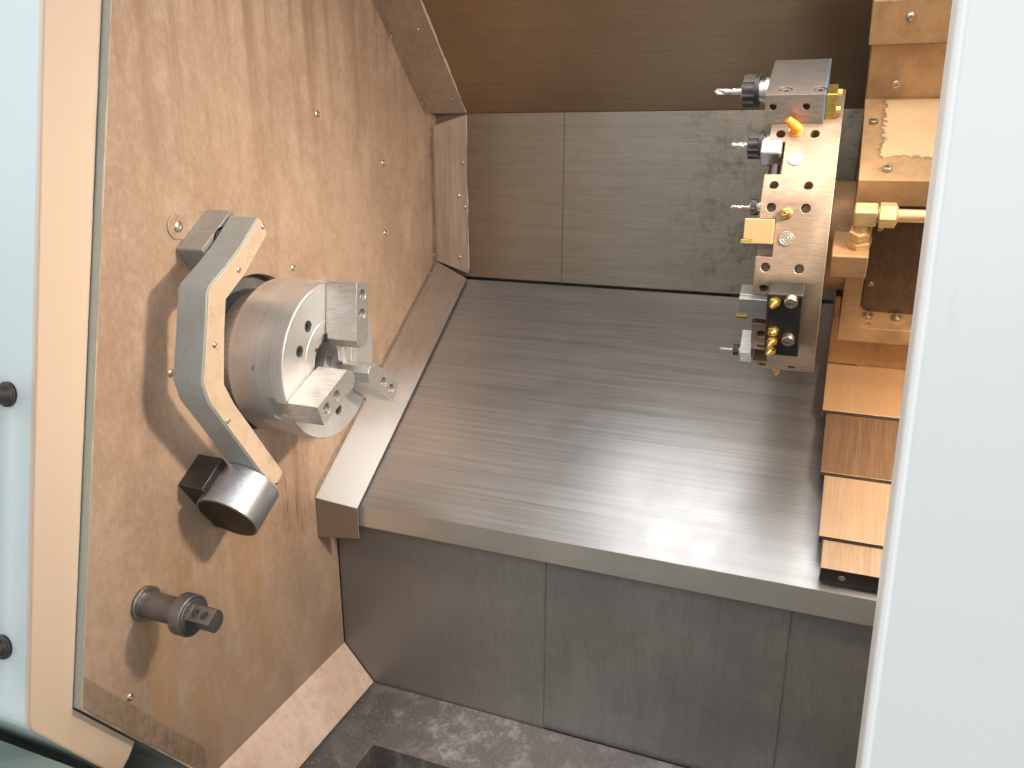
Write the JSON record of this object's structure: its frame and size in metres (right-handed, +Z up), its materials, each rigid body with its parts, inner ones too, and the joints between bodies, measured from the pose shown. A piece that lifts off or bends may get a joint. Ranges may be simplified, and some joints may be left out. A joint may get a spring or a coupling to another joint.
{
  "type": "cnc turning lathe",
  "caption": "Slant-bed turning lathe with an open sliding door, jaw chuck, swinging tool setter arm, drum turret on a sloped cross slide with shingled way covers, chip pan and end-to-end enclosure.",
  "frame": {"origin": "middle of the machine's footprint, on the floor", "axes": "+X along the spindle from the headstock to the right end, +Y from the operator into the machine, +Z up"},
  "size_m": [2.95, 1.68, 1.95],
  "materials": {
    "machined_steel": "turned and ground steel with fine marks",
    "brushed_sheet": "brushed sheet, stained by coolant",
    "stained_wall": "tan, streaked and stained",
    "cream_paint": "cream paint, scuffed",
    "white_paint": "satin off-white",
    "grey_paint": "textured grey paint",
    "black_oxide": "blackened steel",
    "cast_iron": "cast and planed",
    "tan_cast": "cast, stained tan by coolant",
    "door_glass": "clear laminated pane",
    "chrome_tube": "polished tube",
    "red_plastic": "gloss red",
    "black_plastic": "matte black"
  },
  "bodies": {
    "machine_frame": {"base": "grey_paint", "chip_pan": "brushed_sheet", "bed": "cast_iron", "headstock": "cast_iron", "spindle_motor": "grey_paint", "headstock_wall": "stained_wall", "right_wall": "brushed_sheet", "back_panel": "brushed_sheet", "upper_panel": "brushed_sheet", "trim_upper": "cream_paint", "trim_back": "cream_paint", "trim_bed": "cream_paint", "trim_pan": "cream_paint", "skirt_left": "brushed_sheet", "front_head_panel": "white_paint", "front_right_panel": "white_paint", "front_left_panel": "white_paint", "door_rail": "machined_steel", "left_end_cover": "white_paint", "right_end_cover": "white_paint", "roof": "white_paint", "rear_cover": "white_paint", "setter_bracket": "black_oxide", "probe_park": "grey_paint", "wall_stub": "black_oxide", "control_panel": "grey_paint"},
    "spindle_unit": {"spindle": "machined_steel", "chuck_body": "machined_steel", "chuck_cylinder": "machined_steel"},
    "jaw_1_unit": {"jaw_1": "machined_steel"},
    "jaw_2_unit": {"jaw_2": "machined_steel"},
    "jaw_3_unit": {"jaw_3": "machined_steel"},
    "carriage": {"saddle": "cast_iron", "bed_cover": "brushed_sheet", "skirt_right": "brushed_sheet", "way_cover_4": "brushed_sheet"},
    "middle_skirt": {"skirt_middle": "brushed_sheet"},
    "cross_slide_unit": {"cross_slide": "cast_iron", "turret_housing": "cast_iron", "turret_motor_cover": "tan_cast", "coolant_block": "tan_cast", "way_cover_1": "brushed_sheet"},
    "upper_way_cover": {"way_cover_2": "brushed_sheet"},
    "lower_way_cover": {"way_cover_3": "brushed_sheet"},
    "turret": {"turret_disc": "machined_steel", "drill_holder": "black_oxide", "collet_chuck_large": "machined_steel", "collet_chuck_small": "black_oxide", "small_drill_upper": "machined_steel", "drill_block": "machined_steel", "turning_tool_upper": "machined_steel", "turning_tool_lower": "machined_steel", "tool_block": "black_oxide"},
    "setter": {"setter_arm": "grey_paint", "setter_drum": "machined_steel"},
    "door": {"door_panel": "white_paint", "door_window": "door_glass", "door_handle": "chrome_tube"},
    "emergency_stop": {"stop_button": "red_plastic"},
    "wheel": {"handwheel": "black_plastic"}
  },
  "joints": [
    {"name": "spindle_turn", "type": "hinge", "parent": "machine_frame", "child": "spindle_unit", "pos_m": [-0.275, -0.26, 1.08], "axis": [1, 0, 0], "continuous": true},
    {"name": "jaw_1_slide", "type": "slide", "parent": "spindle_unit", "child": "jaw_1_unit", "axis": [0, 0.1219, 0.9925], "range_m": [-0.0044, 0.0044]},
    {"name": "jaw_2_slide", "type": "slide", "parent": "spindle_unit", "child": "jaw_2_unit", "axis": [0, -0.9205, -0.3907], "range_m": [-0.0044, 0.0044]},
    {"name": "jaw_3_slide", "type": "slide", "parent": "spindle_unit", "child": "jaw_3_unit", "axis": [0, 0.7986, -0.6018], "range_m": [-0.0044, 0.0044]},
    {"name": "carriage_slide", "type": "slide", "parent": "machine_frame", "child": "carriage", "axis": [1, 0, 0], "range_m": [-0.38, 0]},
    {"name": "middle_skirt_slide", "type": "slide", "parent": "machine_frame", "child": "middle_skirt", "axis": [1, 0, 0], "range_m": [-0.19, 0]},
    {"name": "cross_slide_travel", "type": "slide", "parent": "carriage", "child": "cross_slide_unit", "axis": [0, 0.866, 0.5], "range_m": [-0.18, 0]},
    {"name": "upper_way_cover_slide", "type": "slide", "parent": "carriage", "child": "upper_way_cover", "axis": [0, 0.866, 0.5], "range_m": [-0.12, 0]},
    {"name": "lower_way_cover_slide", "type": "slide", "parent": "carriage", "child": "lower_way_cover", "axis": [0, 0.866, 0.5], "range_m": [-0.06, 0]},
    {"name": "turret_index", "type": "hinge", "parent": "cross_slide_unit", "child": "turret", "pos_m": [0.4055, 0.07862, 1.2755], "axis": [1, 0, 0], "continuous": true},
    {"name": "setter_swing", "type": "hinge", "parent": "machine_frame", "child": "setter", "pos_m": [-0.356, -0.41, 0.89], "axis": [0, 0.8387, 0.5446], "range_deg": [0, 90]},
    {"name": "door_slide", "type": "slide", "parent": "machine_frame", "child": "door", "axis": [1, 0, 0], "range_m": [0, 0.95]},
    {"name": "stop_push", "type": "slide", "parent": "machine_frame", "child": "emergency_stop", "axis": [0, 0.9776, -0.2105], "range_m": [0, 0.006], "stiffness_N_per_m": 800},
    {"name": "wheel_turn", "type": "hinge", "parent": "machine_frame", "child": "wheel", "pos_m": [1.195, -0.71731, 1.07552], "axis": [0, -0.9776, 0.2105], "continuous": true}
  ],
  "couplings": [
    {"joint": "jaw_2_slide", "follows": "jaw_1_slide", "ratio": 1},
    {"joint": "jaw_3_slide", "follows": "jaw_1_slide", "ratio": 1},
    {"joint": "middle_skirt_slide", "follows": "carriage_slide", "ratio": 0.5},
    {"joint": "upper_way_cover_slide", "follows": "cross_slide_travel", "ratio": 0.66667},
    {"joint": "lower_way_cover_slide", "follows": "cross_slide_travel", "ratio": 0.33333}
  ]
}
